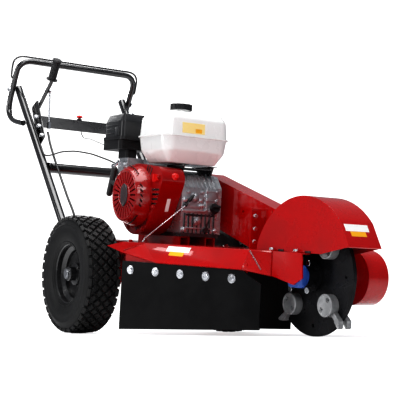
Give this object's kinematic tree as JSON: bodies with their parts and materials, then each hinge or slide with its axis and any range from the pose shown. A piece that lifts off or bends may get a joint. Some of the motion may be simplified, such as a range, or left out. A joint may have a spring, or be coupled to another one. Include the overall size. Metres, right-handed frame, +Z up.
{
  "type": "stump grinder",
  "caption": "Walk-behind stump grinder: a petrol engine on a two-wheeled deck turns a hooded, toothed cutting disc at the front through a guarded belt; handle with bail and brake lever behind.",
  "frame": {"origin": "on the ground under the middle of the machine's length and width", "axes": "+X forward to the cutter, +Y to the operator's left, +Z up"},
  "size_m": [1.9165, 0.748, 1.1477],
  "materials": {
    "red_paint": "gloss",
    "black_paint": "satin",
    "white_tank": "gloss",
    "engine_red": "gloss",
    "cast_alloy": "as cast",
    "bright_steel": "zinc plated",
    "steel_grey": "machined",
    "tool_steel": "satin",
    "black_plastic": "matte",
    "flap_rubber": "matte",
    "tyre_rubber": "matte",
    "belt_rubber": "matte",
    "blue_paint": "satin",
    "red_plastic": "gloss",
    "exhaust": "heat stained",
    "cable_black": "satin"
  },
  "bodies": {
    "chassis": {"deck": "red_paint", "engine_rails": "red_paint", "hood": "red_paint", "cover_bolts": "bright_steel", "guard_back": "red_paint", "guard_cover": "red_paint", "right_flap": "flap_rubber", "left_flap": "flap_rubber", "flap_bolts": "bright_steel", "axle": "steel_grey", "right_handle_tube": "black_paint", "left_handle_tube": "black_paint", "cross_plate": "black_paint", "cross_tube": "black_paint", "grab_bar": "black_paint", "handle_bolts": "bright_steel", "lever_bracket": "black_paint", "brake_cable": "cable_black", "throttle_cable": "cable_black", "stop_wire": "cable_black", "stop_switch": "black_plastic", "bearing_housings": "blue_paint", "crankcase": "cast_alloy", "side_cover": "cast_alloy", "cylinder_block": "cast_alloy", "rocker_cover": "cast_alloy", "fan_shroud": "engine_red", "recoil_cover": "engine_red", "fuel_tank": "white_tank", "tank_bracket": "black_paint", "air_filter_cover": "black_plastic", "air_filter_base": "black_plastic", "carburettor": "cast_alloy", "muffler": "exhaust", "spark_plug": "black_plastic", "drive_belt": "belt_rubber"},
    "right_wheel": {"right_tyre": "tyre_rubber", "right_rim": "black_paint"},
    "left_wheel": {"left_tyre": "tyre_rubber", "left_rim": "black_paint"},
    "cutter": {"cutter_disc": "black_paint", "cutter_shaft": "steel_grey", "cutter_hub": "black_paint", "tooth_pockets": "tool_steel", "cutter_teeth": "tool_steel", "driven_pulley": "steel_grey"},
    "crank": {"crankshaft": "steel_grey", "flywheel": "cast_alloy", "drive_pulley": "steel_grey"},
    "bail": {"bail": "black_paint"},
    "brake_lever": {"brake_lever": "black_paint", "lever_grip": "black_plastic"},
    "brake_link": {"brake_link": "bright_steel"},
    "stop_button": {"stop_button": "red_plastic"},
    "starter_grip": {"starter_grip": "black_plastic"},
    "choke_lever": {"choke_lever": "cast_alloy"},
    "throttle_lever": {"throttle_lever": "bright_steel"},
    "fuel_cap": {"fuel_cap": "black_plastic"},
    "dipstick": {"dipstick": "black_plastic"},
    "engine_switch": {"engine_switch": "black_plastic"}
  },
  "joints": [
    {"name": "right_wheel_spin", "type": "hinge", "parent": "chassis", "child": "right_wheel", "pos_m": [-0.1531, -0.312, 0.203], "axis": [0, 1, 0], "continuous": true},
    {"name": "left_wheel_spin", "type": "hinge", "parent": "chassis", "child": "left_wheel", "pos_m": [-0.1531, 0.312, 0.203], "axis": [0, 1, 0], "continuous": true},
    {"name": "cutter_spin", "type": "hinge", "parent": "chassis", "child": "cutter", "pos_m": [0.7451, 0, 0.17], "axis": [0, 1, 0], "continuous": true},
    {"name": "crank_spin", "type": "hinge", "parent": "chassis", "child": "crank", "pos_m": [-0.0454, 0, 0.47459], "axis": [0, 1, 0], "continuous": true},
    {"name": "bail_squeeze", "type": "hinge", "parent": "chassis", "child": "bail", "pos_m": [-0.88356, 0, 1.05533], "axis": [0, 1, 0], "range_deg": [0, 8], "stiffness_Nm_per_rad": 0.6, "springref_deg": -5.73},
    {"name": "brake_pull", "type": "hinge", "parent": "chassis", "child": "brake_lever", "pos_m": [-0.80827, -0.20877, 0.90404], "axis": [0, 1, 0], "range_deg": [-40, 0]},
    {"name": "brake_link_swing", "type": "hinge", "parent": "brake_lever", "child": "brake_link", "pos_m": [-0.70505, -0.19677, 0.97106], "axis": [0, 1, 0], "range_deg": [0, 40]},
    {"name": "stop_push", "type": "slide", "parent": "chassis", "child": "stop_button", "axis": [-0.1, 0, -0.995], "range_m": [0, 0.0035], "stiffness_N_per_m": 900},
    {"name": "starter_pull", "type": "slide", "parent": "chassis", "child": "starter_grip", "axis": [-0.9008, 0, 0.4343], "range_m": [0, 0.115], "stiffness_N_per_m": 60, "springref_m": -0.02},
    {"name": "choke_swing", "type": "hinge", "parent": "chassis", "child": "choke_lever", "pos_m": [-0.2296, -0.124, 0.62175], "axis": [0, 1, 0], "range_deg": [0, 25]},
    {"name": "throttle_swing", "type": "hinge", "parent": "chassis", "child": "throttle_lever", "pos_m": [-0.18962, -0.124, 0.57954], "axis": [0, 1, 0], "range_deg": [0, 50]},
    {"name": "fuel_cap_turn", "type": "hinge", "parent": "chassis", "child": "fuel_cap", "pos_m": [0.0451, -0.025, 0.77504], "axis": [0.1, 0, 0.995], "range_deg": [0, 90]},
    {"name": "dipstick_turn", "type": "hinge", "parent": "chassis", "child": "dipstick", "pos_m": [0.068, 0.066, 0.40289], "axis": [0.9117, 0, 0.4109], "range_deg": [0, 360]},
    {"name": "engine_switch_turn", "type": "hinge", "parent": "chassis", "child": "engine_switch", "pos_m": [0.09393, -0.1483, 0.52089], "axis": [0, 1, 0], "range_deg": [0, 60]}
  ],
  "couplings": [
    {"joint": "crank_spin", "follows": "cutter_spin", "ratio": 1.38},
    {"joint": "brake_link_swing", "follows": "brake_pull", "ratio": -1}
  ]
}
